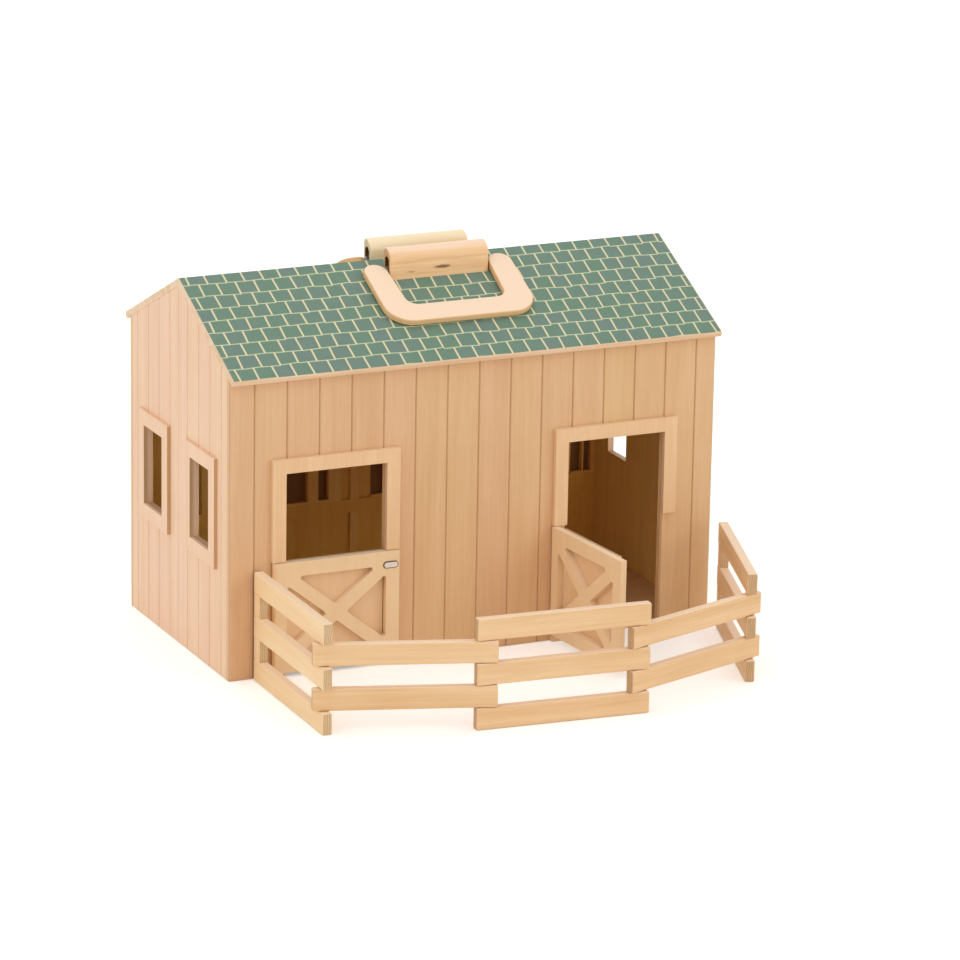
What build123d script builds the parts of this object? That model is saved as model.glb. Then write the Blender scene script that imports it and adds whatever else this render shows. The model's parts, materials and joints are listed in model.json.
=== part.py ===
from build123d import *
import math
import os

# Toy barn that opens like a book, with two half doors, two carrying handles and a
# folding corral fence. Millimetres. X runs along the ridge, -Y is the front, +Z is up.
# The origin is on the ground, under the middle of the ridge.

# ------------------------------------------------------------------ driving dimensions
# Shell
barn_width = 336.0            # outside of one gable to outside of the other
barn_depth = 169.8            # outside of the front wall to outside of the rear wall
ridge_height = 239.6          # top of the roof at the ridge
eave_height = 195.5           # top of the roof at its lower edge
eave_overhang = 7.6           # roof beyond the wall below it
gable_overhang = 0.3          # roof beyond each gable
wall_thickness = 4.2
floor_thickness = 4.2
roof_thickness = 4.4
seam_gap = 0.3                # between the two halves, all of it on the rear half's side
wall_corner_radius = 1.5
eave_radius = 1.6

# Board grooves
groove_width = 1.5
groove_depth = 0.7
wall_groove_pitch = 21.8
wall_groove_margin = 16.7     # first groove from the left corner
gable_groove_pitch = 18.8
gable_groove_margin = 15.0    # first groove from the seam

# Doorways, one each side of the middle
doorway_inset = 70.9          # middle of a doorway from the outside of its gable
doorway_width = 68.3
doorway_height = 132.1
trim_thickness = 3.6
trim_width = 8.95

# Half doors
door_height = 72.2
door_lift_left = 2.4          # underside above the ground
door_lift_right = 4.8
door_gap = 0.3                # overlay to wall, and overlay to the trim's outline
door_end_gap = 0.4            # above and below the door
overlay_thickness = 4.3
board_thickness = 2.0
board_side_gap = 0.9
board_floor_gap = 0.6
door_stile = 9.1
door_rail = 9.4
brace_width = 8.2
brace_corner_radius = 1.4
door_open_angle = 85.0        # the right door stands open
door_pin_radius = 0.8
door_pin_set = 1.5            # pin's centre from the overlay's back and hinge edge
door_pin_grip = 6.0           # length of a pin inside the door
door_pin_reach = 5.0          # length of the top pin inside the jamb
running_clearance = 0.05      # radial

# Door pull
pull_length = 10.4
pull_height = 4.6
pull_thickness = 1.4
pull_recess = 0.7
pull_inset = 0.9              # from the free edge
pull_drop = 9.0               # centre below the door's top

# Gable windows, the same distance each side of the seam. The right-hand gable carries
# the hinges, so its windows are plain openings a little further out.
window_centre = 39.7
window_width = 31.2
window_bottom = 77.5
window_top = 129.8
window_trim_width = 9.6
window_trim_thickness = 2.2
hinge_window_centre = 43.9
hinge_window_width = 26.8
hinge_window_bottom = 76.6

# Barrel hinges on the right-hand gable
hinge_heights = (52.0, 178.0)
hinge_length = 30.0
hinge_leaf_width = 10.5
hinge_leaf_thickness = 1.0
knuckle_radius = 2.0
knuckle_gap = 0.3
hinge_pin_radius = 0.9
screw_radius = 0.8
screw_head_radius = 1.5
screw_head_height = 0.7
screw_depth = 3.2             # shank inside the wood
screw_margin = 4.0            # from a leaf's end

# Handle bars on the ridge and the U handles
bar_length = 68.8
bar_offset_front = 2.4        # middle of the bar from the middle of the barn
bar_offset_rear = 0.9
bar_centre = 14.0             # from the ridge
bar_depth = 11.0
bar_rise = 10.3               # top of the bar above the ridge
bar_front_radius = 7.8        # both bars stand the same way round
bar_back_radius = 3.0
bar_end_radius = 1.2
slot_width = 6.8
slot_cover = 5.1              # wood above the groove
slot_depth = 10.0
handle_width = 102.8
handle_side_gap = 0.8         # leg to bar
handle_taper = 1.7            # each leg is this much wider at the grip
handle_thickness = 4.7
handle_rest_gap = 0.3         # above the roof
handle_tail = 4.3             # leg beyond its pin
handle_length = 53.4          # pin to the outside of the grip
handle_grip_width = 16.0
handle_outer_radius = 17.0
handle_inner_radius = 7.0
handle_end_radius = 8.2
handle_edge_radius = 1.2
shoulder_radius = 2.5
shank_radius = 1.1
shank_length = 8.0

# Inner panel on the rear wall
panel_thickness = 2.4
backing_thickness = 1.2
panel_top = 150.0
pane_bottom = 59.0
pane_top = 118.0
panes = ((-129.5, -122.0), (-107.0, -92.0), (-84.5, -69.5), (-62.0, -47.0), (-39.5, -32.0),
         (-1.4, 9.0), (16.5, 31.5), (39.0, 54.0), (61.5, 69.0), (91.5, 99.0), (106.5, 121.5),
         (145.6, 153.3), (154.6, 160.0))
pane_groups = ((-129.5, -32.0), (-1.4, 69.0), (91.5, 121.5), (145.6, 160.0))
casing_width = 8.6            # beside the last pane of a group
casing_sill = 3.2             # below the panes
casing_thickness = 1.6
post_position = -13.4
post_width = 6.0
rail_level = 53.0             # middle of the rail
rail_width = 9.0
batten_thickness = 1.6

# Corral fence
fence_length = 113.2          # one section
fence_thickness = 6.2
fence_layer = 14.25           # one rail and the gap above it
fence_layer_gap = 0.3
fence_layers = 5
fence_pin_inset = 7.0         # pin from a rail's end
fence_inset = 18.65           # middle of its first rail from the outside of the left gable
fence_wall_gap = 2.66         # its first rail from the front wall
fence_angles = (-90.7, -18.2, -4.7, 18.8, 71.9)
fence_spacer_length = 9.0
fence_edge_radius = 0.9
fence_pin_radius = 1.0
fence_pin_margin = 3.0        # solid wood above and below a pin

# ------------------------------------------------------------------ worked out from them
half_width = barn_width / 2
half_depth = barn_depth / 2
doorway_centre = half_width - doorway_inset
roof_angle = math.atan2(ridge_height - eave_height, half_depth + eave_overhang)
roof_drop = roof_thickness / math.cos(roof_angle)
bar_top = ridge_height + bar_rise
slot_top = bar_top - slot_cover
rail_height = fence_layer - fence_layer_gap
overlay_width = doorway_width + 2 * trim_width - 2 * door_gap
overlay_back = -half_depth - door_gap
overlay_front = overlay_back - overlay_thickness
door_axis_y = overlay_back - door_pin_set
hinge_x = half_width + knuckle_radius + knuckle_gap
seam_centre = seam_gap / 2


def roof_top(y):
    """Height of the roof's upper surface at a distance from the ridge."""
    return ridge_height - abs(y) * math.tan(roof_angle)


def roof_under(y):
    """Height of the roof's underside at a distance from the ridge."""
    return roof_top(y) - roof_drop


# ------------------------------------------------------------------ small helpers
def block(x0, x1, y0, y1, z0, z1):
    """A box between two corners."""
    middle = Pos((x0 + x1) / 2, (y0 + y1) / 2, (z0 + z1) / 2)
    return middle * Box(x1 - x0, y1 - y0, z1 - z0)


def across(points, x0, x1):
    """A prism with a (y, z) outline, from x0 to x1."""
    face = make_face(Plane.YZ.offset(x0) * Polyline(*points, close=True))
    return extrude(face, amount=x1 - x0, dir=(1, 0, 0))


def upright(points, y0, y1):
    """A prism with an (x, z) outline, from y0 back to y1."""
    face = make_face(Plane.XZ.offset(-y1) * Polyline(*points, close=True))
    return extrude(face, amount=y1 - y0, dir=(0, -1, 0))


def rod(start, axis, radius, length):
    """A cylinder from a point along X, Y or Z."""
    plane = Plane(origin=start, z_dir=axis)
    return extrude(plane * Circle(radius), amount=length)


def save(name, shape):
    """Write one node, as one solid or a group of separate solids."""
    solids = shape.solids()
    body = solids[0] if len(solids) == 1 else Compound(children=list(solids))
    body.label = name
    export_step(body, f"parts/{name}.step")


def rearward(shape):
    """The rear half's copy of a front piece, cut back to leave the seam's gap."""
    reach = barn_width + barn_depth
    keep = block(-reach, reach, seam_gap, reach, -1, reach)
    return mirror(shape, about=Plane.XZ) & keep


# ------------------------------------------------------------------ shell
def groove_along_z(x, y, facing, height):
    """A V groove cutter, its mouth on the plane y = y that faces -Y or +Y."""
    half = groove_width / 2
    mouth = y + facing * 0.01
    points = [(x - half, mouth), (x + half, mouth), (x, y - facing * groove_depth)]
    return extrude(make_face(Polyline(*points, close=True)), amount=height, dir=(0, 0, 1))


def long_wall():
    """The front wall's grooved panel, its top bevelled to the roof."""
    front, back = -half_depth, -half_depth + wall_thickness
    outline = [(front, 0), (back, 0), (back, roof_under(back)), (front, roof_under(front))]
    wall = across(outline, -half_width, half_width)
    corners = wall.edges().filter_by(Axis.Z).group_by(Axis.Y)[0]
    wall = fillet(corners, wall_corner_radius)
    position = -half_width + wall_groove_margin
    while position < half_width - groove_width:
        wall -= groove_along_z(position, front, -1, ridge_height)
        position += wall_groove_pitch
    return wall


def front_wall():
    wall = long_wall()
    for side in (-1, 1):
        left = side * doorway_centre - doorway_width / 2
        right = left + doorway_width
        front, back = -half_depth - 1, -half_depth + wall_thickness + 1
        wall -= block(left, right, front, back, -1, doorway_height)
    return wall


def half_gable(side):
    """The front half of the gable at side -1 (left) or +1 (right), with its window."""
    front = -half_depth + wall_thickness
    outline = [(front, 0), (0, 0), (0, roof_under(0)), (front, roof_under(front))]
    outer = side * half_width
    inner = side * (half_width - wall_thickness)
    gable = across(outline, min(outer, inner), max(outer, inner))
    if side < 0:
        centre, width, bottom = window_centre, window_width, window_bottom
    else:
        centre, width, bottom = hinge_window_centre, hinge_window_width, hinge_window_bottom
    cut_from, cut_to = min(outer, inner) - 1, max(outer, inner) + 1
    gable -= block(cut_from, cut_to, -centre - width / 2, -centre + width / 2, bottom, window_top)
    distance = gable_groove_margin
    while distance < -front:
        mouth = outer + side * 0.01
        half = groove_width / 2
        points = [(mouth, -distance - half), (mouth, -distance + half),
                  (outer - side * groove_depth, -distance)]
        gable -= extrude(make_face(Polyline(*points, close=True)), amount=ridge_height, dir=(0, 0, 1))
        distance += gable_groove_pitch
    if side > 0:
        for screw_y, screw_z in screw_places():
            gable -= rod((outer - screw_depth, screw_y, screw_z), (1, 0, 0),
                         screw_radius, screw_depth + 1)
    return gable


def floor_panel():
    inner = half_width - wall_thickness
    return block(-inner, inner, -half_depth + wall_thickness, 0, 0, floor_thickness)


def roof_panel():
    """The front slope, square to itself at the eave and upright at the ridge."""
    eave = -half_depth - eave_overhang
    lean_y = roof_thickness * math.sin(roof_angle)
    lean_z = roof_thickness * math.cos(roof_angle)
    outline = [(0, ridge_height), (eave, eave_height),
               (eave + lean_y, eave_height - lean_z), (0, ridge_height - roof_drop)]
    reach = half_width + gable_overhang
    roof = across(outline, -reach, reach)
    nose = roof.edges().filter_by(Axis.X).group_by(Axis.Y)
    return fillet(nose[0] + nose[1], eave_radius)


# ------------------------------------------------------------------ mitred trim
def door_trim(side):
    """Head and two jambs on the front wall; the left jamb carries the door's top pin."""
    centre = side * doorway_centre
    inner_left, inner_right = centre - doorway_width / 2, centre + doorway_width / 2
    left, right = inner_left - trim_width, inner_right + trim_width
    top = doorway_height + trim_width
    foot = door_top(side) + door_end_gap
    boards = [
        [(left, top), (right, top), (inner_right, doorway_height), (inner_left, doorway_height)],
        [(left, foot), (inner_left, foot), (inner_left, doorway_height), (left, top)],
        [(inner_right, foot), (right, foot), (right, top), (inner_right, doorway_height)],
    ]
    front, back = -half_depth - trim_thickness, -half_depth
    head, hinge_jamb, free_jamb = (upright(points, front, back) for points in boards)
    hole = rod((door_axis_x(side), door_axis_y, foot), (0, 0, 1),
               door_pin_radius + running_clearance, door_pin_reach + door_end_gap)
    return Compound(children=[*head.solids(), *(hinge_jamb - hole).solids(), *free_jamb.solids()])


def window_trim():
    """Four mitred boards round the front window of the left gable."""
    y0, y1 = -window_centre - window_width / 2, -window_centre + window_width / 2
    z0, z1 = window_bottom, window_top
    w = window_trim_width
    boards = [
        [(y0 - w, z1 + w), (y1 + w, z1 + w), (y1, z1), (y0, z1)],
        [(y0 - w, z0 - w), (y1 + w, z0 - w), (y1, z0), (y0, z0)],
        [(y0 - w, z0 - w), (y0, z0), (y0, z1), (y0 - w, z1 + w)],
        [(y1 + w, z0 - w), (y1, z0), (y1, z1), (y1 + w, z1 + w)],
    ]
    outer, inner = -half_width - window_trim_thickness, -half_width
    return Compound(children=[solid for points in boards for solid in across(points, outer, inner).solids()])


# ------------------------------------------------------------------ half doors, drawn shut
def door_lift(side):
    return door_lift_left if side < 0 else door_lift_right


def door_top(side):
    return door_lift(side) + door_height


def door_left(side):
    return side * doorway_centre - overlay_width / 2


def door_axis_x(side):
    return door_left(side) + door_pin_set


def door_pose(side, shape):
    """Turn the right door to where it stands; the left one stays shut."""
    if side < 0:
        return shape
    axis = Axis((door_axis_x(side), door_axis_y, 0), (0, 0, 1))
    return shape.rotate(axis, -door_open_angle)


def brace_triangle(corners, depth0, depth1):
    face = make_face(Plane.XZ.offset(-depth1) * Polyline(*corners, close=True))
    face = fillet(face.vertices(), brace_corner_radius)
    return extrude(face, amount=depth1 - depth0, dir=(0, -1, 0))


def door_overlay(side):
    """The outer layer: stiles, rails and crossed braces cut from one board."""
    left, bottom, top = door_left(side), door_lift(side), door_top(side)
    right = left + overlay_width
    overlay = block(left, right, overlay_front, overlay_back, bottom, top)
    hinge_edges = overlay.edges().filter_by(Axis.Z).group_by(Axis.X)[0]
    overlay = fillet(hinge_edges, overlay_thickness / 2 - 0.01)
    x0, x1 = left + door_stile, right - door_stile
    z0, z1 = bottom + door_rail, top - door_rail
    xm, zm = (x0 + x1) / 2, (z0 + z1) / 2
    slope = math.atan2(z1 - z0, x1 - x0)
    side_step = brace_width / 2 / math.sin(slope)
    rise_step = brace_width / 2 / math.cos(slope)
    triangles = [
        [(x0 + side_step, z1), (x1 - side_step, z1), (xm, zm + rise_step)],
        [(x0 + side_step, z0), (x1 - side_step, z0), (xm, zm - rise_step)],
        [(x0, z0 + rise_step), (x0, z1 - rise_step), (xm - side_step, zm)],
        [(x1, z0 + rise_step), (x1, z1 - rise_step), (xm + side_step, zm)],
    ]
    for corners in triangles:
        overlay -= brace_triangle(corners, overlay_front - 1, overlay_back + 1)
    if side < 0:
        overlay -= pull_shape(pull_recess + 1, overlay_front + pull_recess)
    for pin in door_pin_list(side, door_pin_radius):
        overlay -= pin
    return door_pose(side, overlay)


def door_board(side):
    """The inner layer, which fills the doorway and shows through the braces."""
    left = side * doorway_centre - doorway_width / 2 + board_side_gap
    right = left + doorway_width - 2 * board_side_gap
    bottom = floor_thickness + board_floor_gap + door_lift(side) - door_lift_left
    board = block(left, right, overlay_back, overlay_back + board_thickness,
                  bottom, door_top(side))
    return door_pose(side, board)


def door_pin_list(side, radius):
    """Top and bottom pivot pins of a door."""
    x, bottom, top = door_axis_x(side), door_lift(side), door_top(side)
    up = rod((x, door_axis_y, top - door_pin_grip), (0, 0, 1), radius,
             door_pin_grip + door_end_gap + door_pin_reach)
    foot_reach = bottom - 0.6
    down = rod((x, door_axis_y, bottom - foot_reach), (0, 0, 1), radius,
               foot_reach + door_pin_grip)
    return [up, down]


def door_pins(side):
    pins = door_pin_list(side, door_pin_radius)
    return Compound(children=[solid for pin in pins for solid in pin.solids()])


def door_foot(side):
    """The block on the wall under the hinge side that carries the bottom pin."""
    left = side * doorway_centre - doorway_width / 2 - trim_width
    top = door_lift(side) - door_end_gap
    foot = block(left, left + trim_width, -half_depth - trim_thickness, -half_depth, 0, top)
    return foot - rod((door_axis_x(side), door_axis_y, 0.4), (0, 0, 1),
                      door_pin_radius + running_clearance, door_lift(side))


def pull_shape(thickness, back):
    """The pull's rounded oblong, its back face on the plane y = back."""
    right = door_left(-1) + overlay_width
    centre_x = right - pull_inset - pull_length / 2
    centre_z = door_top(-1) - pull_drop
    plane = Plane(origin=(centre_x, back, centre_z), x_dir=(1, 0, 0), z_dir=(0, -1, 0))
    return extrude(plane * SlotOverall(pull_length, pull_height), amount=thickness)


def door_pull():
    pull = pull_shape(pull_thickness, overlay_front + pull_recess)
    rim = pull.faces().sort_by(Axis.Y)[0].edges()
    return fillet(rim, pull_thickness - pull_recess - 0.1)


# ------------------------------------------------------------------ gable hinges
def screw_places(toward=-1):
    """(y, z) of the leaves' screws, toward -1 on the front half and +1 on the rear."""
    y = toward * (knuckle_radius + knuckle_gap + hinge_leaf_width / 2)
    step = hinge_length / 2 - screw_margin
    return [(y, height + offset) for height in hinge_heights for offset in (-step, step)]


def knuckle_spans(height, half):
    """Heights of the barrel's pieces: the front leaf has the ends, the rear the middle."""
    third = hinge_length / 3
    low = height - hinge_length / 2
    if half == "rear":
        return [(low + third + knuckle_gap / 2, low + 2 * third - knuckle_gap / 2)]
    return [(low, low + third - knuckle_gap / 2),
            (low + 2 * third + knuckle_gap / 2, low + hinge_length)]


def hinge_leaves(half):
    """Two leaves with their knuckles, drilled for screws. The pin is fast in the front one."""
    toward = -1 if half == "front" else 1
    bore = hinge_pin_radius + (0 if half == "front" else running_clearance)
    solids = []
    for height in hinge_heights:
        root = knuckle_radius + knuckle_gap
        near, far = seam_centre + toward * root, seam_centre + toward * (root + hinge_leaf_width)
        z0, z1 = height - hinge_length / 2, height + hinge_length / 2
        face0, face1 = half_width, half_width + hinge_leaf_thickness
        leaf = block(face0, face1, min(near, far), max(near, far), z0, z1)
        for k0, k1 in knuckle_spans(height, half):
            middle = seam_centre + toward * knuckle_radius * 0.6
            leaf += block(face0, face1, min(near, middle), max(near, middle), k0, k1)
            leaf += rod((hinge_x, seam_centre, k0), (0, 0, 1), knuckle_radius, k1 - k0)
        leaf -= rod((hinge_x, seam_centre, z0 - 1), (0, 0, 1), bore, hinge_length + 2)
        for y, z in screw_places(toward):
            if abs(z - height) < hinge_length:
                leaf -= rod((face0 - 1, y, z), (1, 0, 0),
                            screw_radius + running_clearance, hinge_leaf_thickness + 2)
        solids += leaf.solids()
    return Compound(children=solids)


def hinge_pins():
    pins = []
    for height in hinge_heights:
        low = height - hinge_length / 2 - 0.5
        pins += rod((hinge_x, seam_centre, low), (0, 0, 1), hinge_pin_radius,
                    hinge_length + 1).solids()
    return Compound(children=pins)


def hinge_screws(half):
    screws = []
    seat = half_width + hinge_leaf_thickness
    for y, z in screw_places(-1 if half == "front" else 1):
        shank = rod((half_width - screw_depth, y, z), (1, 0, 0), screw_radius,
                    screw_depth + hinge_leaf_thickness)
        head = rod((seat, y, z), (1, 0, 0), screw_head_radius, screw_head_height)
        rim = head.faces().sort_by(Axis.X)[-1].edges()
        screws += (shank + fillet(rim, screw_head_height * 0.7)).solids()
    return Compound(children=screws)


# ------------------------------------------------------------------ ridge bars and handles
pin_y = -bar_centre
pin_rest = roof_top(bar_centre) + (handle_rest_gap + handle_thickness / 2) / math.cos(roof_angle)
pin_lift = slot_top - slot_width / 2 - pin_rest


def ridge_bar(offset, outer_radius, inner_radius):
    """The front slope's bar: top edges rounded, foot cut to the roof, a groove in each end."""
    front, back = -bar_centre - bar_depth / 2, -bar_centre + bar_depth / 2
    outline = [(front, roof_top(front)), (back, roof_top(back)), (back, bar_top), (front, bar_top)]
    bar = across(outline, offset - bar_length / 2, offset + bar_length / 2)
    top_edges = bar.edges().filter_by(Axis.X).group_by(Axis.Z)[-1].sort_by(Axis.Y)
    bar = fillet(top_edges[0], outer_radius)
    back_edge = bar.edges().filter_by(Axis.X).group_by(Axis.Y)[-1].sort_by(Axis.Z)[-1]
    bar = fillet(back_edge, inner_radius)
    ends = bar.faces().filter_by(Axis.X)
    rims = [edge for end in ends for edge in end.edges()
            if edge.center().Z > roof_top(edge.center().Y) + 1]
    bar = fillet(rims, bar_end_radius)
    for end in (-1, 1):
        mouth = offset + end * bar_length / 2
        x0, x1 = sorted((mouth - end * slot_depth, mouth + end))
        round_end = rod((x0, pin_y, slot_top - slot_width / 2), (1, 0, 0), slot_width / 2, x1 - x0)
        bar -= round_end + block(x0, x1, pin_y - slot_width / 2, pin_y + slot_width / 2,
                                 roof_top(back) - bar_depth, slot_top - slot_width / 2)
    return bar


def handle(offset):
    """The U handle on the front slope, lying on the roof with its pins in the bar."""
    tail, grip_end = -handle_tail, handle_length
    half = handle_width / 2
    inside = bar_length / 2 + handle_side_gap
    plate = Pos(0, (tail + grip_end) / 2) * Rectangle(handle_width, grip_end - tail)
    plate = fillet(plate.vertices().group_by(Axis.Y)[-1], handle_outer_radius)
    opening_end = grip_end - handle_grip_width
    narrow = inside - handle_taper
    opening = make_face(Polyline((-inside, tail - 1), (inside, tail - 1), (inside, handle_tail),
                                 (narrow, opening_end), (-narrow, opening_end), (-inside, handle_tail),
                                 close=True))
    opening = fillet(opening.vertices().group_by(Axis.Y)[-1], handle_inner_radius)
    plate -= opening
    tips = plate.vertices().group_by(Axis.Y)[0]
    leg_width = half - inside
    plate = fillet(tips, min(handle_end_radius, leg_width / 2 - 0.1))
    solid = extrude(plate, amount=handle_thickness / 2, both=True)
    rims = solid.edges().filter_by(lambda edge: abs(abs(edge.center().Z) - handle_thickness / 2) < 1e-3)
    solid = fillet(rims, handle_edge_radius)
    for end in (-1, 1):
        hole_from = end * (inside - 1)
        solid -= rod((hole_from, 0, 0), (end, 0, 0), shank_radius + running_clearance,
                     shank_length + 1)
    # Local +Y runs down the slope, and local +Z out of the roof.
    down = (0, -math.cos(roof_angle), -math.sin(roof_angle))
    seat = Plane(origin=(offset, pin_y, pin_rest), x_dir=(-1, 0, 0),
                 z_dir=(0, -math.sin(roof_angle), math.cos(roof_angle)))
    assert seat.y_dir.dot(Vector(*down)) > 0.999
    return seat * solid


def handle_pins(offset):
    """Shouldered pins: the shoulder slides in the bar's groove, the shank holds the leg."""
    inside = bar_length / 2 + handle_side_gap
    pins = []
    for end in (-1, 1):
        shoulder_from = bar_length / 2 - slot_depth + 1
        shoulder = rod((offset + end * shoulder_from, pin_y, pin_rest), (end, 0, 0),
                       shoulder_radius, inside - shoulder_from - 0.1)
        shank = rod((offset + end * (inside - 0.2), pin_y, pin_rest), (end, 0, 0),
                    shank_radius, shank_length)
        pins += (shoulder + shank).solids()
    return Compound(children=pins)


# ------------------------------------------------------------------ inner panel
def stall_backing():
    inner = half_width - wall_thickness
    back = half_depth - wall_thickness
    return block(-inner, inner, back - backing_thickness, back, floor_thickness, panel_top)


def stall_panel():
    """The board with sunk panes and a rail on the inside of the rear wall."""
    inner = half_width - wall_thickness
    back = half_depth - wall_thickness - backing_thickness
    front = back - panel_thickness
    panel = block(-inner, inner, front, back, floor_thickness, panel_top)
    for left, right in panes:
        panel -= block(left, right, front - 1, back + 1, pane_bottom, pane_top)
    panel += block(-inner, inner, front - batten_thickness, front,
                   rail_level - rail_width / 2, rail_level + rail_width / 2)
    return panel


def stall_casings():
    """Pale window casings above the rail, and a post in two lengths."""
    inner = half_width - wall_thickness
    back = half_depth - wall_thickness - backing_thickness - panel_thickness
    front = back - casing_thickness
    rail_low, rail_high = rail_level - rail_width / 2, rail_level + rail_width / 2
    sill = max(pane_bottom - casing_sill, rail_high)
    solids = []
    for start, end in pane_groups:
        casing = block(start, min(end + casing_width, inner), front, back, sill, pane_top)
        for left, right in panes:
            casing -= block(left, right, front - 1, back + 1, pane_bottom, pane_top + 1)
        solids += casing.solids()
    left, right = post_position - post_width / 2, post_position + post_width / 2
    for low, high in ((floor_thickness, rail_low), (rail_high, panel_top)):
        solids += block(left, right, back - batten_thickness, back, low, high).solids()
    return Compound(children=solids)


# ------------------------------------------------------------------ corral fence
def fence_chain():
    """Start point, heading and end point of each section's centre line."""
    chain = []
    start = Vector(fence_inset - half_width, -half_depth - fence_wall_gap)
    for angle in fence_angles:
        heading = Vector(math.cos(math.radians(angle)), math.sin(math.radians(angle)))
        if chain:
            start = chain[-1][2] - chain[-1][1] * fence_pin_inset - heading * fence_pin_inset
        chain.append((start, heading, start + heading * fence_length))
    return chain


def pin_hole(distance, layer, radius):
    """A rail's bore for a pin, blind in the bottom and top rails."""
    low = fence_pin_margin - 0.2 - layer * fence_layer
    high = fence_layers * fence_layer - fence_layer_gap - fence_pin_margin + 0.2 - layer * fence_layer
    z0, z1 = max(low, -1), min(high, rail_height + 1)
    return rod((distance, 0, z0), (0, 0, 1), radius, z1 - z0)


def fence_rail(section, layer):
    """One rail. It turns on the pin at its near end and grips the one at its far end."""
    rail = block(0, fence_length, -fence_thickness / 2, fence_thickness / 2, 0, rail_height)
    rail = fillet(rail.edges(), fence_edge_radius)
    if section > 0:
        rail -= pin_hole(fence_pin_inset, layer, fence_pin_radius + running_clearance)
    if section < len(fence_angles) - 1:
        rail -= pin_hole(fence_length - fence_pin_inset, layer, fence_pin_radius)
    return place_on_section(rail, section, layer * fence_layer)


def place_on_section(shape, section, height):
    start, heading, _ = fence_chain()[section]
    return Plane(origin=(start.X, start.Y, height), x_dir=heading, z_dir=(0, 0, 1)) * shape


def fence_spacers(section, distance):
    """Blocks between a three-rail section's rails at one end."""
    half = fence_thickness / 2 - 0.4
    solids = []
    for layer in range(1, fence_layers, 2):
        spacer = block(distance, distance + fence_spacer_length, -half, half,
                       fence_layer * (layer - 1) + rail_height, fence_layer * (layer + 1))
        solids += place_on_section(spacer, section, 0).solids()
    return Compound(children=solids)


def fence_pin(joint):
    """The pin between a section and the next."""
    start, heading, end = fence_chain()[joint]
    centre = end - heading * fence_pin_inset
    height = fence_layers * fence_layer - fence_layer_gap
    return rod((centre.X, centre.Y, fence_pin_margin), (0, 0, 1), fence_pin_radius,
               height - 2 * fence_pin_margin)


# ------------------------------------------------------------------ write every node
os.makedirs("parts", exist_ok=True)

save("front_wall", front_wall())
save("front_floor", floor_panel())
save("front_roof", roof_panel())
save("front_left_gable", half_gable(-1))
save("front_right_gable", half_gable(1))
save("front_window_trim", window_trim())
save("left_doorway_trim", door_trim(-1))
save("right_doorway_trim", door_trim(1))
save("door_foot_blocks", Compound(children=[*door_foot(-1).solids(), *door_foot(1).solids()]))
save("front_ridge_bar", ridge_bar(bar_offset_front, bar_front_radius, bar_back_radius))

save("rear_wall", rearward(long_wall()))
save("rear_floor", rearward(floor_panel()))
save("rear_roof", rearward(roof_panel()))
save("rear_left_gable", rearward(half_gable(-1)))
save("rear_right_gable", rearward(half_gable(1)))
save("rear_window_trim", rearward(window_trim()))
save("rear_ridge_bar", rearward(ridge_bar(bar_offset_rear, bar_back_radius, bar_front_radius)))
save("stall_backing", stall_backing())
save("stall_panel", stall_panel())
save("stall_casings", stall_casings())

save("front_hinge_leaves", hinge_leaves("front"))
save("rear_hinge_leaves", hinge_leaves("rear"))
save("hinge_pins", hinge_pins())
save("front_hinge_screws", hinge_screws("front"))
save("rear_hinge_screws", hinge_screws("rear"))

for door_side, door_name in ((-1, "left"), (1, "right")):
    save(f"{door_name}_door_overlay", door_overlay(door_side))
    save(f"{door_name}_door_board", door_board(door_side))
    save(f"{door_name}_door_pins", door_pins(door_side))
save("left_door_pull", door_pull())

save("front_handle", handle(bar_offset_front))
save("front_handle_pins", handle_pins(bar_offset_front))
save("rear_handle", rearward(handle(bar_offset_rear)))
save("rear_handle_pins", rearward(handle_pins(bar_offset_rear)))

for section_index in range(len(fence_angles)):
    for rail_layer in range(section_index % 2, fence_layers, 2):
        save(f"fence_{section_index + 1}_rail_{rail_layer + 1}", fence_rail(section_index, rail_layer))
save("fence_1_spacers", fence_spacers(0, 0))
save("fence_5_spacers", fence_spacers(4, fence_length - fence_spacer_length))
for joint_index in range(len(fence_angles) - 1):
    save(f"fence_pin_{joint_index + 1}", fence_pin(joint_index))

print("handle pins rest at z", round(pin_rest, 3), "and lift", round(pin_lift, 3))
print("door axes", [(round(door_axis_x(s), 3), round(door_axis_y, 3)) for s in (-1, 1)])
for start_point, heading_vector, end_point in fence_chain()[:-1]:
    pin_point = end_point - heading_vector * fence_pin_inset
    print("fence pin at", round(pin_point.X, 3), round(pin_point.Y, 3))
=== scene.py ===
import json
import math

import bpy
from mathutils import Matrix, Vector

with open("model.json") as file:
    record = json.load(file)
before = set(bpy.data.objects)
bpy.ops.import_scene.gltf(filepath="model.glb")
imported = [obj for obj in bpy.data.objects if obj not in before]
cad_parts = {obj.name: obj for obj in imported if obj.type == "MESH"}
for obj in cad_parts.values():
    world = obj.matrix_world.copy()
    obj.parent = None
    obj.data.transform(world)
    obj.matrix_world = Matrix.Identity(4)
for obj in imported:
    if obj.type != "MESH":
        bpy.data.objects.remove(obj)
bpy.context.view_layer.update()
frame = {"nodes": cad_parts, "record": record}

# ------------------------------------------------------------------ sizes, in metres
HALF_WIDTH = 0.168            # to the outer face of a gable
HALF_DEPTH = 0.0849           # to the outer face of the front or rear wall
WALL = 0.0042                 # thickness of a wall or gable
RIDGE, EAVE = 0.2396, 0.1955  # heights of the roof's upper face
ROOF_RUN = 0.0925             # from the ridge out to the eave
ROOF_ANGLE = math.atan2(RIDGE - EAVE, ROOF_RUN)
WALL_BOARDS = (0.0167, 0.0218)    # first groove from the left corner, pitch
GABLE_BOARDS = (0.0150, 0.0188)   # first groove from the seam, pitch
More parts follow.
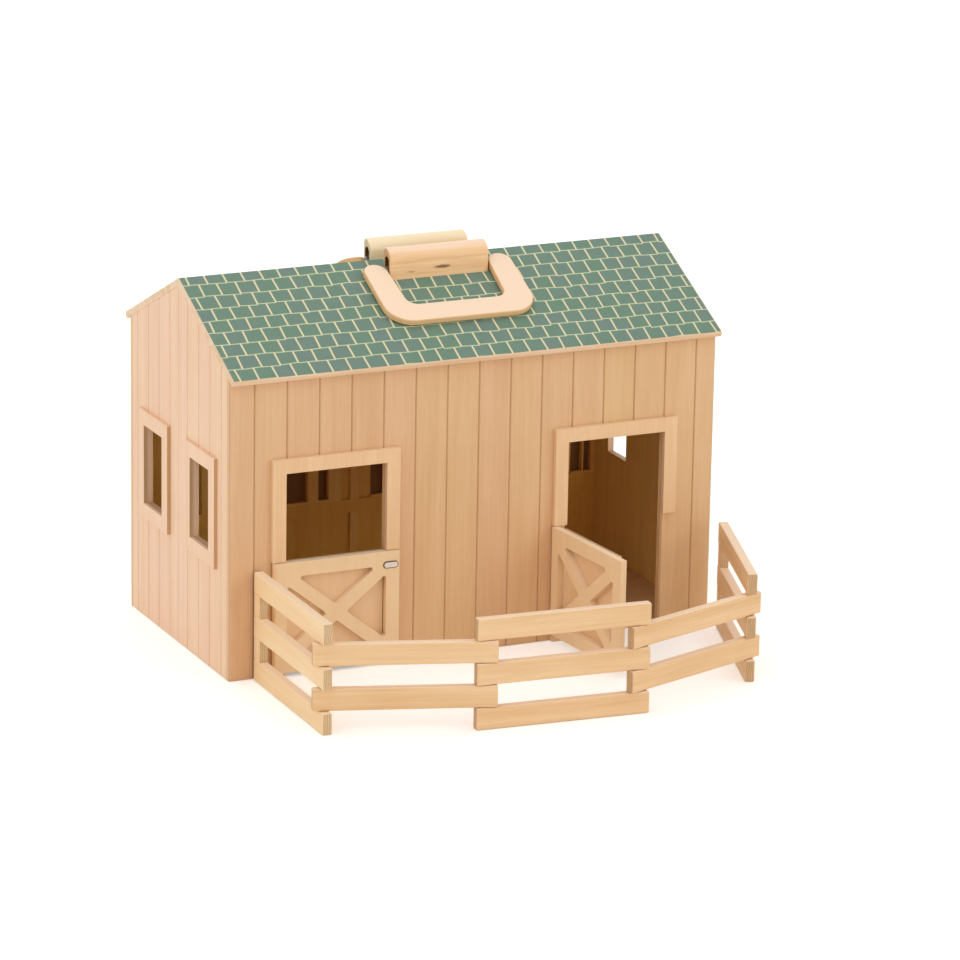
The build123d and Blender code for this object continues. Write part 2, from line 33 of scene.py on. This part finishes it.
FENCE_ANGLES = (-90.7, -18.2, -4.7, 18.8, 71.9)   # each section's heading, in degrees
PULL_X, PULL_Z = -0.0604, 0.0656
PULL_HALF, PULL_RADIUS = 0.0052, 0.0023


def linear(red, green, blue):
    """A 0-255 display colour as scene-linear RGBA."""
    def channel(value):
        value /= 255
        return value / 12.92 if value <= 0.04045 else ((value + 0.055) / 1.055) ** 2.4
    return (channel(red), channel(green), channel(blue), 1.0)


def darker(colour, share):
    """A colour's red, green and blue times share."""
    return tuple(value * share for value in colour[:3]) + (1,)


# ------------------------------------------------------------------ node building
class Tree:
    """Short calls that add a node, set or link its inputs, and return its output."""

    def __init__(self, name):
        self.material = bpy.data.materials.new(name)
        self.material.use_nodes = True
        self.nodes = self.material.node_tree.nodes
        self.links = self.material.node_tree.links
        self.nodes.clear()
        self.output = self.nodes.new("ShaderNodeOutputMaterial")
        self.shader = self.nodes.new("ShaderNodeBsdfPrincipled")
        self.links.new(self.shader.outputs[0], self.output.inputs[0])

    def put(self, socket, value):
        if isinstance(value, bpy.types.NodeSocket):
            self.links.new(value, socket)
        else:
            socket.default_value = value

    def set(self, **values):
        for name, value in values.items():
            self.put(self.shader.inputs[name.replace("_", " ")], value)

    def math(self, operation, a, b=None, c=None, clamp=False):
        node = self.nodes.new("ShaderNodeMath")
        node.operation, node.use_clamp = operation, clamp
        for index, value in enumerate((a, b, c)):
            if value is not None:
                self.put(node.inputs[index], value)
        return node.outputs[0]

    def step(self, value, low, high):
        """0 below low, 1 above high, smooth between. low may be the larger."""
        node = self.nodes.new("ShaderNodeMapRange")
        node.interpolation_type = "SMOOTHSTEP"
        flip = low > high
        self.put(node.inputs["Value"], value)
        self.put(node.inputs["From Min"], min(low, high))
        self.put(node.inputs["From Max"], max(low, high))
        self.put(node.inputs["To Min"], 1.0 if flip else 0.0)
        self.put(node.inputs["To Max"], 0.0 if flip else 1.0)
        return node.outputs[0]

    def mix(self, factor, a, b, blend="MIX"):
        node = self.nodes.new("ShaderNodeMix")
        node.data_type, node.blend_type = "RGBA", blend
        for name, value in (("Factor", factor), ("A", a), ("B", b)):
            sockets = [socket for socket in node.inputs if socket.name == name]
            if name == "Factor":
                chosen = sockets[0]
            else:
                chosen = sockets[-2 if len(sockets) > 2 else -1]
            self.put(chosen, value)
        return [socket for socket in node.outputs if socket.type == "RGBA"][0]

    def place(self):
        """Object coordinates: the row frame's metres, riding with the body."""
        return self.nodes.new("ShaderNodeTexCoord").outputs["Object"]

    def split(self, vector):
        node = self.nodes.new("ShaderNodeSeparateXYZ")
        self.put(node.inputs[0], vector)
        return node.outputs[0], node.outputs[1], node.outputs[2]

    def join(self, x, y, z):
        node = self.nodes.new("ShaderNodeCombineXYZ")
        for socket, value in zip(node.inputs, (x, y, z)):
            self.put(socket, value)
        return node.outputs[0]

    def mapped(self, vector, turn=(0, 0, 0), scale=(1, 1, 1), shift=(0, 0, 0)):
        node = self.nodes.new("ShaderNodeMapping")
        self.put(node.inputs["Vector"], vector)
        node.inputs["Rotation"].default_value = turn
        node.inputs["Scale"].default_value = scale
        node.inputs["Location"].default_value = shift
        return node.outputs[0]

    def noise(self, vector, scale, detail=3.0, roughness=0.5, distortion=0.0):
        node = self.nodes.new("ShaderNodeTexNoise")
        self.put(node.inputs["Vector"], vector)
        for name, value in (("Scale", scale), ("Detail", detail), ("Roughness", roughness),
                            ("Distortion", distortion)):
            node.inputs[name].default_value = value
        return node.outputs[0]

    def white(self, x, y, seed):
        node = self.nodes.new("ShaderNodeTexWhiteNoise")
        node.noise_dimensions = "3D"
        self.put(node.inputs["Vector"], self.join(x, y, seed))
        return node.outputs[0]

    def dot(self, vector, direction):
        node = self.nodes.new("ShaderNodeVectorMath")
        node.operation = "DOT_PRODUCT"
        self.put(node.inputs[0], vector)
        node.inputs[1].default_value = direction
        return node.outputs["Value"]

    def facing(self, direction):
        """How far the surface faces a direction that rides with the piece, -1 to 1."""
        normal = self.nodes.new("ShaderNodeTexCoord").outputs["Normal"]
        return self.dot(normal, direction)

    def bump(self, height, strength, distance):
        node = self.nodes.new("ShaderNodeBump")
        node.inputs["Strength"].default_value = strength
        node.inputs["Distance"].default_value = distance
        self.put(node.inputs["Height"], height)
        return node.outputs[0]


# ------------------------------------------------------------------ wood
ALONG = {"x": (0.045, 1, 1), "y": (1, 0.045, 1), "z": (1, 1, 0.045)}


def wood_colour(tree, place, pale, deep, along, turn=0.0, seed=0.0, figure=1.0):
    """Sawn softwood: broad bands, fine streaks and pores along the grain."""
    turned = tree.mapped(place, turn=(0, 0, -turn), shift=(seed, seed * 0.7, seed * 0.3))
    stretched = tree.mapped(turned, scale=ALONG[along])
    bands = tree.noise(stretched, 95, 2, 0.5, 0.9)
    streaks = tree.noise(stretched, 520, 3, 0.6, 0.2)
    pores = tree.noise(stretched, 2100, 2, 0.7)
    cloud = tree.noise(turned, 16, 2, 0.5)
    tone = tree.math("MULTIPLY_ADD", tree.math("SUBTRACT", bands, 0.5), 1.5 * figure, 0.42)
    tone = tree.math("MULTIPLY_ADD", tree.math("SUBTRACT", streaks, 0.5), 1.1 * figure, tone)
    tone = tree.math("MULTIPLY_ADD", tree.math("SUBTRACT", cloud, 0.5), 0.7 * figure, tone)
    colour = tree.mix(tree.math("ADD", tone, 0.0, clamp=True), pale, deep)
    pore = tree.math("MULTIPLY", tree.step(pores, 0.62, 0.78), 0.22 * figure)
    colour = tree.mix(pore, colour, darker(deep, 0.62))
    relief = tree.math("MULTIPLY_ADD", streaks, 0.6, tree.math("MULTIPLY", pores, 0.4))
    return colour, relief, streaks


GRAIN = {"x": (1, 0, 0), "y": (0, 1, 0), "z": (0, 0, 1)}


def end_grain(tree, place, colour, deep, along, turn):
    """Darker, ringed wood where the surface faces along the grain."""
    axis = Vector(GRAIN[along])
    axis.rotate(Matrix.Rotation(turn, 3, "Z"))
    facing = tree.math("ABSOLUTE", tree.facing(axis))
    side = Vector((0, 0, 1)) if along != "z" else Vector((1, 0, 0))
    across = axis.cross(side)
    bend = tree.math("POWER", tree.math("MULTIPLY", tree.dot(place, side), 7.0), 2.0)
    ring = tree.math("ADD", tree.dot(place, across), tree.math("MULTIPLY", bend, 0.02))
    ring = tree.math("MULTIPLY_ADD", tree.noise(place, 300, 2), 0.0016, ring)
    ring = tree.math("SINE", tree.math("MULTIPLY", ring, 5200.0))
    ring = tree.math("MULTIPLY_ADD", ring, 0.26, 0.62)
    amount = tree.math("MULTIPLY", tree.step(facing, 0.72, 0.95), ring)
    return tree.mix(amount, colour, darker(deep, 0.5))


def wood(name, pale, deep, along="z", turn=0.0, seed=0.0, figure=1.0, groove=None,
         knots=(), painted_light_and_ply_face=None, both_faces=False, painted_slot_shade=None, ends=True):
    """A wood material.

    groove is (axis, outer face, line colour, inner tint, board thickness) of a V-grooved board.
    knots holds (centre, half length, half height, colour) on a face turned to the front.
    upper is (direction, start, end, colour, amount): the tone of the faces turned that way,
    and with both_faces of the opposite ones too. On the handles it is the ply faces' own paler
    tone;
    on the other pieces it is painted light: a painted highlight on faces turned up, painted shade
    on faces turned to the front.
    slots is (middle y, half width, top z, middle x, half length): grooves in a bar's ends, coloured
    dark brown as painted shade for the shade inside them.
    """
    tree = Tree(name)
    place = tree.place()
    x, y, z = tree.split(place)
    colour, relief, streaks = wood_colour(tree, place, pale, deep, along, turn, seed, figure)
    if groove is not None:
        # Each board between two grooves has its own tone, some pinker and some yellower.
        if groove[0] == "x":
            across, (first, pitch) = tree.math("ABSOLUTE", y), GABLE_BOARDS
        else:
            across, (first, pitch) = tree.math("ADD", x, HALF_WIDTH), WALL_BOARDS
        board = tree.math("FLOOR", tree.math(
            "DIVIDE", tree.math("SUBTRACT", across, first), pitch))
        tone = tree.mix(tree.white(board, tree.math("SIGN", y), seed),
                        linear(255, 251, 255), linear(253, 255, 247))
        colour = tree.mix(1.0, colour, tone, "MULTIPLY")
    for centre, long, wide, knot_colour in knots:
        offset = tree.mapped(place, shift=tuple(-c for c in centre))
        dx, dy, dz = tree.split(offset)
        wobble = tree.math("SUBTRACT", tree.noise(place, 260, 2), 0.5)
        wobble = tree.math("MULTIPLY", wobble, 0.9)
        radius = tree.math("SQRT", tree.math("ADD",
                           tree.math("POWER", tree.math("DIVIDE", dx, long), 2.0),
                           tree.math("POWER", tree.math("DIVIDE", dz, wide), 2.0)))
        spread = tree.math("ADD", radius, wobble)
        near = tree.step(tree.math("ABSOLUTE", dy), 0.006, 0.003)
        halo = tree.math("MULTIPLY", tree.step(spread, 2.6, 0.9), near)
        core = tree.math("MULTIPLY", tree.step(spread, 1.15, 0.6), near)
        colour = tree.mix(tree.math("MULTIPLY", halo, 0.35), colour, deep)
        colour = tree.mix(tree.math("MULTIPLY", core, 0.85), colour, knot_colour)
    # Painted light on most pieces: faces turned one way are tinted, a painted highlight on faces
    # turned up and painted shade on faces turned to the front; on the handles the tint is the ply
    # faces' own paler tone.
    if painted_light_and_ply_face is not None:
        direction, start, end, tone, amount = painted_light_and_ply_face
        turned_up = tree.facing(direction)
        if both_faces:
            turned_up = tree.math("ABSOLUTE", turned_up)
        amount = tree.math("MULTIPLY", tree.step(turned_up, start, end), amount)
        colour = tree.mix(amount, colour, tone)
    if ends:
        colour = end_grain(tree, place, colour, deep, along, turn)
    # Painted shade: the bar's end faces are coloured dark brown over the slots, standing for the
    # shade inside them.
    if painted_slot_shade is not None:
        middle, half, top, centre, reach = painted_slot_shade
        across = tree.math("ABSOLUTE", tree.math("SUBTRACT", y, middle))
        outward = tree.math("ABSOLUTE", tree.math("SUBTRACT", x, centre))
        slot_shade_mask = tree.math("MULTIPLY", tree.step(across, half + 0.0002, half),
                           tree.step(z, top + 0.0002, top))
        slot_shade_mask = tree.math("MULTIPLY", slot_shade_mask, tree.step(outward, reach, reach - 0.0006))
        colour = tree.mix(slot_shade_mask, colour, linear(104, 68, 28))
    if groove is not None:
        axis, face, line_colour, tint, thickness = groove
        coordinate = {"x": x, "y": y}[axis]
        depth = tree.math("SUBTRACT", face, tree.math("ABSOLUTE", coordinate))
        inside = tree.math("MULTIPLY", tree.step(depth, 0.00005, 0.0005),
                           tree.step(depth, 0.0012, 0.0009))
        colour = tree.mix(tree.math("MULTIPLY", inside, 0.35), colour, line_colour)
        behind = tree.step(depth, thickness - 0.0005, thickness - 0.0002)
        colour = tree.mix(behind, colour, tree.mix(1.0, colour, tint, "MULTIPLY"))
    # Painted shade: the colour is darkened towards the deep wood tone where nearby surfaces hem it
    # in, in corners, creases and between parts.
    dark = tree.nodes.new("ShaderNodeAmbientOcclusion")
    dark.samples = 6
    dark.inputs["Distance"].default_value = 0.006
    painted_crevice_shade = tree.math("MULTIPLY", tree.step(dark.outputs["AO"], 0.75, 0.15), 0.35)
    colour = tree.mix(painted_crevice_shade, colour, darker(deep, 0.5))
    tree.set(Base_Color=colour, IOR=1.45,
             Roughness=tree.math("MULTIPLY_ADD", streaks, 0.16, 0.44),
             Normal=tree.bump(relief, 0.12, 0.0004))
    return tree.material


# ------------------------------------------------------------------ printed roof
SHINGLE = 0.012155            # across
COURSE = 0.01172              # down the slope
FIRST_COURSE = 0.0085         # from the ridge to the first line
FIRST_JOINT = -0.1637
HALF_BOND = 0.53              # shift of every second course, in shingles


def roof_material():
    """Plywood with a green shingle print on its upper face; the cut edges are bare."""
    tree = Tree("shingle_print")
    place = tree.place()
    x, y, z = tree.split(place)
    bare, relief, streaks = wood_colour(
        tree, place, linear(250, 222, 190), linear(226, 186, 142), "x", seed=0.31)

    slope = tree.math("DIVIDE", tree.math("ABSOLUTE", y), math.cos(ROOF_ANGLE))
    along = tree.math("DIVIDE", tree.math("SUBTRACT", x, FIRST_JOINT), SHINGLE)
    stretch = tree.math("DIVIDE", along, 27.0)
    stretch = tree.math("MULTIPLY", stretch, tree.math("SUBTRACT", 1.0, stretch))
    along = tree.math("MULTIPLY_ADD", stretch, -0.64, along)
    down = tree.math("DIVIDE", tree.math("ADD", slope, COURSE - FIRST_COURSE), COURSE)

    def across_course(course):
        """Position across one course, in shingles, with every second course shifted."""
        shift = tree.math("MULTIPLY", tree.math("MODULO", course, 2.0), HALF_BOND)
        return tree.math("ADD", along, shift)

    def scatter(a, b, seed, spread):
        """A value fixed for each shingle, from -spread / 2 to spread / 2."""
        return tree.math("MULTIPLY", tree.math("SUBTRACT", tree.white(a, b, seed), 0.5), spread)

    # The course line steps up or down, and tilts, under each shingle of the course above.
    nearest = tree.math("ROUND", down)
    above = across_course(tree.math("SUBTRACT", nearest, 1.0))
    column = tree.math("FLOOR", above)
    part = tree.math("SUBTRACT", tree.math("FRACT", above), 0.5)
    rise = scatter(column, nearest, 7.0, 0.085)
    tilt = scatter(column, nearest, 9.0, 0.13)
    waved = tree.math("ADD", down, tree.math("MULTIPLY_ADD", part, tilt, rise))
    course = tree.math("FLOOR", waved)
    level_gap = tree.math("ABSOLUTE", tree.math("SUBTRACT", waved, nearest))
    level_gap = tree.math("MULTIPLY", level_gap, COURSE)
    level = tree.step(level_gap, 0.00062, 0.00030)
    level = tree.math("MULTIPLY", level, tree.step(slope, 0.003, 0.004))

    across = across_course(course)
    joint = tree.math("ROUND", across)
    lean = scatter(joint, course, 5.0, 0.07)
    drift = scatter(joint, course, 4.0, 0.05)
    fall = tree.math("SUBTRACT", tree.math("FRACT", waved), 0.5)
    moved = tree.math("ADD", across, tree.math("MULTIPLY_ADD", fall, lean, drift))
    joint_gap = tree.math("ABSOLUTE", tree.math("SUBTRACT", moved, joint))
    joint_gap = tree.math("MULTIPLY", joint_gap, SHINGLE)
    upright = tree.step(joint_gap, 0.00082, 0.00046)

    line = tree.math("MAXIMUM", level, upright)
    cell = tree.white(tree.math("FLOOR", moved), course, 1.0)
    cloud = tree.noise(place, 150, 3, 0.6)
    green = tree.mix(cell, linear(103, 135, 112), linear(109, 132, 121))
    faded = tree.math("MULTIPLY", tree.step(cloud, 0.4, 0.7), 0.3)
    green = tree.mix(faded, green, linear(94, 124, 106))
    worn = tree.math("MULTIPLY", tree.step(tree.noise(place, 900, 3, 0.7), 0.66, 0.8), 0.25)
    green = tree.mix(worn, green, linear(140, 168, 142))
    cream = tree.mix(upright, linear(196, 205, 160), linear(226, 214, 172))
    printed = tree.mix(line, green, cream)

    top = tree.math("SUBTRACT", tree.math("MULTIPLY_ADD", tree.math("ABSOLUTE", y),
                    -math.tan(ROOF_ANGLE), RIDGE), z)
    depth = tree.math("MULTIPLY", top, math.cos(ROOF_ANGLE))
    soaked = tree.math("ADD", depth, tree.math("MULTIPLY", streaks, 0.0001))
    ink = tree.step(soaked, 0.00035, 0.00018)
    inside = tree.step(tree.math("ABSOLUTE", x), HALF_WIDTH, HALF_WIDTH - 0.0004)
    ink = tree.math("MULTIPLY", ink, inside)
    tree.set(Base_Color=tree.mix(ink, bare, printed), IOR=1.45,
             Roughness=tree.math("MULTIPLY_ADD", streaks, 0.1, 0.5),
             Normal=tree.bump(relief, 0.1, 0.0003))
    return tree.material


# ------------------------------------------------------------------ metals and paint
def metal(name, colour, roughness):
    """A brushed metal with some tarnish."""
    tree = Tree(name)
    place = tree.place()
    brushed = tree.noise(tree.mapped(place, scale=ALONG["z"]), 3000, 2, 0.6)
    stain = tree.noise(place, 220, 3, 0.6)
    dull = darker(colour, 0.55)
    tarnish = tree.math("MULTIPLY", tree.step(stain, 0.45, 0.75), 0.2)
    tree.set(Base_Color=tree.mix(tarnish, colour, dull),
             Metallic=1.0, Roughness=tree.math("MULTIPLY_ADD", brushed, 0.2, roughness),
             Normal=tree.bump(brushed, 0.08, 0.0001))
    return tree.material


def pull_metal():
    """Bright nickel, with painted shade as a darker rim round the door pull's outline."""
    tree = Tree("pull_nickel")
    place = tree.place()
    x, y, z = tree.split(place)
    sideways = tree.math("ABSOLUTE", tree.math("SUBTRACT", x, PULL_X))
    over = tree.math("SUBTRACT", sideways, PULL_HALF - PULL_RADIUS)
    over = tree.math("MAXIMUM", over, 0.0)
    rise = tree.math("SUBTRACT", z, PULL_Z)
    distance = tree.math("SQRT", tree.math(
        "MULTIPLY_ADD", over, over, tree.math("MULTIPLY", rise, rise)))
    # Painted shade: a dark band along the pull's outline as seen from the front.
    rim = tree.step(distance, PULL_RADIUS - 0.0008, PULL_RADIUS - 0.0004)
    stain = tree.noise(place, 400, 3, 0.6)
    bright = tree.mix(tree.math("MULTIPLY", stain, 0.2),
                      linear(236, 230, 222), linear(196, 186, 174))
    tree.set(Base_Color=tree.mix(rim, bright, linear(82, 70, 58)), Metallic=0.6,
             Roughness=tree.math("MULTIPLY_ADD", stain, 0.2, 0.22),
             Normal=tree.bump(stain, 0.05, 0.0001))
    return tree.material


def dark_board():
    """A dark brown board behind the stall's panes, with fibre streaks: its darkness is painted
    shade, standing for the shade behind the panes.
    """
    tree = Tree("dark_board")
    place = tree.place()
    fibres = tree.noise(tree.mapped(place, scale=ALONG["z"]), 700, 3, 0.6)
    cloud = tree.noise(place, 30, 3, 0.5)
    brown = tree.mix(cloud, linear(150, 104, 52), linear(176, 124, 66))
    tree.set(Base_Color=tree.mix(fibres, brown, linear(118, 80, 42)),
             Roughness=tree.math("MULTIPLY_ADD", fibres, 0.2, 0.6),
             Normal=tree.bump(fibres, 0.2, 0.0004))
    return tree.material


# ------------------------------------------------------------------ dressing the nodes
groove_line = linear(168, 122, 78)
inner_tint = linear(255, 240, 190)
gable_inner_tint = linear(255, 255, 188)
# Painted highlight: the colour given to faces turned up on trims, doors and fence rails.
painted_top_highlight = linear(255, 232, 208)
UP = (0, 0, 1)
SLOPE_UP = (0, -math.sin(ROOF_ANGLE), math.cos(ROOF_ANGLE))
SLOPE_UP_REAR = (0, math.sin(ROOF_ANGLE), math.cos(ROOF_ANGLE))
# Painted light and shade: the same plywood is coloured paler on the gables, as lit from the side,
# and darker and more saturated on the front wall, as in shade.
shaded_front_pale, shaded_front_deep = linear(235, 194, 148), linear(219, 173, 124)
lit_gable_pale, lit_gable_deep = linear(253, 217, 184), linear(240, 197, 157)
door_pale, door_deep = linear(250, 219, 176), linear(240, 203, 156)
trim_pale, trim_deep = linear(247, 208, 163), linear(233, 188, 139)
fence_pale, fence_deep = linear(246, 206, 158), linear(232, 185, 131)
bar_pale, bar_deep = linear(255, 216, 167), linear(235, 178, 120)
handle_pale = linear(255, 224, 194)
ply_edge, ply_edge_deep = linear(246, 202, 150), linear(232, 178, 122)

finishes = {
    "wall_wood": wood("wall_ply", shaded_front_pale, shaded_front_deep, figure=0.7,
                      groove=("y", HALF_DEPTH, groove_line, inner_tint, WALL)),
    "gable_wood": wood("gable_ply", lit_gable_pale, lit_gable_deep, seed=0.5, figure=0.7,
                       groove=("x", HALF_WIDTH, groove_line, gable_inner_tint, WALL)),
    "floor_wood": wood("floor_ply", shaded_front_pale, shaded_front_deep, along="x", seed=0.2),
    # Painted highlight: the trims' and doors' faces turned up are tinted paler, as if lit from
    # above.
    "trim_wood": wood("trim_strip", trim_pale, trim_deep, seed=0.9, figure=0.8,
                      painted_light_and_ply_face=(UP, 0.5, 0.9, painted_top_highlight, 0.5), ends=False),
    "door_wood": wood("door_ply", door_pale, door_deep, seed=1.4, figure=0.6,
                      painted_light_and_ply_face=(UP, 0.5, 0.9, painted_top_highlight, 0.6), ends=False),
    "casing_wood": wood("casing_strip", linear(255, 212, 124), linear(252, 196, 100),
                        seed=2.7, figure=0.8),
    "panel_wood": wood("panel_ply", linear(255, 206, 104), linear(246, 184, 78), seed=1.9),
    # Painted highlight: the bar's faces turned up are tinted pale pink; the knots are the pine's
    # own.
    "bar_wood": wood("bar_pine", bar_pale, bar_deep, along="x", seed=0.75, figure=1.2, knots=(
        ((0.0048, -0.0195, 0.2364), 0.0062, 0.0011, linear(110, 72, 36)),
        ((-0.0173, -0.0195, 0.2347), 0.0022, 0.0005, linear(196, 148, 98)),
    ), painted_light_and_ply_face=(UP, 0.4, 0.9, linear(255, 224, 196), 0.8),
        painted_slot_shade=(-0.014, 0.0035, 0.2448, 0.0024, 0.0344)),
    "handle_wood": wood("handle_ply", ply_edge, ply_edge_deep, along="x", seed=2.3, figure=0.7,
                        painted_light_and_ply_face=(SLOPE_UP, 0.6, 0.95, handle_pale, 1.0), both_faces=True,
                        ends=False),
    "roof_board": roof_material(),
    "dark_board": dark_board(),
    "brass": metal("hinge_brass", linear(206, 168, 96), 0.28),
    "steel": metal("pin_steel", linear(176, 174, 170), 0.3),
    "pull_metal": pull_metal(),
}
# Painted light: the first section, which faces left, gets paler colours than the other four,
# standing for the stronger light on its side.
fence_tones_lit_first = [(linear(255, 222, 174), linear(250, 208, 154))] + [(fence_pale, fence_deep)] * 4
# Painted highlight: each section's faces turned up are tinted paler, as if lit from above.
fence_wood = [wood(f"fence_pine_{number + 1}", *fence_tones_lit_first[number], along="x",
                   turn=math.radians(angle), seed=3.1 + number * 0.37, figure=1.25,
                   painted_light_and_ply_face=(UP, 0.4, 0.9, painted_top_highlight, 0.6))
              for number, angle in enumerate(FENCE_ANGLES)]

# Painted shade: the window strips' faces turned to the front are darkened to a brownish yellow.
window_wood = wood("window_strip", lit_gable_pale, lit_gable_deep, seed=6.3, figure=0.6,
                   painted_light_and_ply_face=((0, -1, 0), 0.5, 0.9, linear(196, 152, 100), 0.8), ends=False)
# Painted light: the rear bar is the same pine as the front bar, coloured much paler and warmer to
# stand for the light on its upper, front-facing side.
rear_bar_painted_light_wood = wood("rear_bar_painted_light_pine", linear(255, 239, 205), linear(255, 227, 183), along="x",
                     seed=5.2, painted_slot_shade=(0.014, 0.0035, 0.2448, 0.0009, 0.0344))
rear_handle_wood = wood("rear_handle_ply", ply_edge, ply_edge_deep, along="x", seed=2.9,
                        figure=0.7, painted_light_and_ply_face=(SLOPE_UP_REAR, 0.6, 0.95, handle_pale, 1.0),
                        both_faces=True, ends=False)
door_inner = wood("door_inner_ply", linear(243, 207, 164), linear(232, 190, 144),
                  seed=4.4, figure=0.6)

slot_of = {part["node"]: part["material_slot"] for part in frame["record"]["subparts"]}
for node_name, node in frame["nodes"].items():
    slot = slot_of[node_name]
    if slot == "fence_wood":
        finish = fence_wood[int(node_name.split("_")[1]) - 1]
    elif node_name.endswith("_window_trim"):
        finish = window_wood
    elif node_name == "rear_handle":
        finish = rear_handle_wood
    elif node_name == "rear_ridge_bar":
        finish = rear_bar_painted_light_wood
    elif node_name.endswith("_door_board"):
        finish = door_inner
    else:
        finish = finishes[slot]
    node.data.materials.clear()
    node.data.materials.append(finish)


# ------------------------------------------------------------------ floor and light
FLOOR_GLOW = 0.32             # added where the camera or a reflection sees the floor
WORLD_LIGHT = 0.60            # the world's light on the object
FLOOR_REACH = 6.0
FLOOR_DROP = 0.0002           # keeps the floor clear of the barn's underside


def seen_directly(nodes, links):
    """1 for camera, glossy and transmission rays, 0 for the light on the object."""
    light_path = nodes.new("ShaderNodeLightPath")
    seen = light_path.outputs["Is Camera Ray"]
    for ray in ("Is Glossy Ray", "Is Transmission Ray"):
        either = nodes.new("ShaderNodeMath")
        either.operation = "MAXIMUM"
        links.new(seen, either.inputs[0])
        links.new(light_path.outputs[ray], either.inputs[1])
        seen = either.outputs[0]
    return seen


def add_floor():
    """White paper that glows a little where it is seen, and keeps the object's shadow."""
    mesh = bpy.data.meshes.new("floor")
    corners = [(x * FLOOR_REACH, y * FLOOR_REACH, 0)
               for x, y in ((-1, -1), (1, -1), (1, 1), (-1, 1))]
    mesh.from_pydata(corners, [], [(0, 1, 2, 3)])
    floor = bpy.data.objects.new("floor", mesh)
    bpy.context.collection.objects.link(floor)
    floor.location.z = -FLOOR_DROP
    tree = Tree("floor_paper")
    colour = tree.noise(tree.place(), 3, 2)
    tree.set(Base_Color=tree.mix(colour, (0.94, 0.94, 0.93, 1), (0.955, 0.955, 0.945, 1)),
             Roughness=0.9)
    glow = tree.nodes.new("ShaderNodeEmission")
    glow.inputs["Color"].default_value = (1.0, 0.985, 0.96, 1)
    seen = seen_directly(tree.nodes, tree.links)
    tree.put(glow.inputs["Strength"], tree.math("MULTIPLY", seen, FLOOR_GLOW))
    both = tree.nodes.new("ShaderNodeAddShader")
    tree.links.new(tree.shader.outputs[0], both.inputs[0])
    tree.links.new(glow.outputs[0], both.inputs[1])
    tree.links.new(both.outputs[0], tree.output.inputs[0])
    mesh.materials.append(tree.material)


def add_area(name, place, size, power, colour):
    """A square soft light aimed at the middle of the barn."""
    lamp = bpy.data.lights.new(name, "AREA")
    lamp.shape, lamp.size, lamp.energy, lamp.color = "SQUARE", size, power, colour
    lamp_object = bpy.data.objects.new(name, lamp)
    lamp_object.location = place
    lamp_object.rotation_mode = "QUATERNION"
    lamp_object.rotation_quaternion = (Vector(LAMP_TARGET) - Vector(place)).to_track_quat("-Z", "Y")
    bpy.context.collection.objects.link(lamp_object)


def set_world():
    """Even white light, and a white background for the camera and for reflections."""
    world = bpy.data.worlds.new("studio")
    world.use_nodes = True
    bpy.context.scene.world = world
    nodes, links = world.node_tree.nodes, world.node_tree.links
    nodes.clear()
    strength = nodes.new("ShaderNodeMapRange")
    links.new(seen_directly(nodes, links), strength.inputs["Value"])
    strength.inputs["To Min"].default_value = WORLD_LIGHT
    strength.inputs["To Max"].default_value = 1.0
    background = nodes.new("ShaderNodeBackground")
    background.inputs["Color"].default_value = (1, 1, 1, 1)
    links.new(strength.outputs[0], background.inputs["Strength"])
    output = nodes.new("ShaderNodeOutputWorld")
    links.new(background.outputs[0], output.inputs[0])


add_floor()
set_world()
LAMP_TARGET = (0, 0, 0.1)
LAMPS = (
    # name, place, size, power, colour
    ("side", (-2.9, 0.5, 1.6), 1.6, 10.0, (1.0, 0.99, 0.98)),
    ("key", (-1.9, -1.3, 2.2), 1.6, 10.5, (1.0, 0.99, 0.98)),
    ("top", (0.0, 0.2, 3.2), 2.2, 13.0, (1.0, 0.99, 0.98)),
    ("front", (0.4, -3.2, 0.7), 1.4, 6.0, (1.0, 0.98, 0.96)),
    ("back", (0.6, 2.6, 2.0), 1.8, 9.5, (1.0, 0.99, 0.98)),
    ("right", (2.0, -2.0, 1.5), 1.6, 14.5, (1.0, 0.99, 0.97)),
)
for lamp_name, lamp_place, lamp_size, lamp_power, lamp_colour in LAMPS:
    add_area(lamp_name, lamp_place, lamp_size, lamp_power, lamp_colour)

# ------------------------------------------------------------------ camera
YAW, PITCH, ROLL = 0.4389, 0.2863, 0.0176
CAMERA_PLACE = (-1.28418, -2.82612, 1.00426)
forward = Vector((math.sin(YAW) * math.cos(PITCH), math.cos(YAW) * math.cos(PITCH),
                  -math.sin(PITCH)))
level_right = Vector((math.cos(YAW), -math.sin(YAW), 0))
level_up = level_right.cross(forward)
right = level_right * math.cos(ROLL) + level_up * math.sin(ROLL)
up = level_up * math.cos(ROLL) - level_right * math.sin(ROLL)
camera = bpy.data.objects.new("camera", bpy.data.cameras.new("camera"))
camera.data.sensor_width = 36.0
camera.data.lens = 187.5
camera.data.clip_start, camera.data.clip_end = 0.1, 50
camera.matrix_world = Matrix.Translation(CAMERA_PLACE) @ Matrix(
    (right, up, -forward)).transposed().to_4x4()
bpy.context.collection.objects.link(camera)
bpy.context.scene.camera = camera
bpy.context.scene.view_settings.view_transform = "Standard"
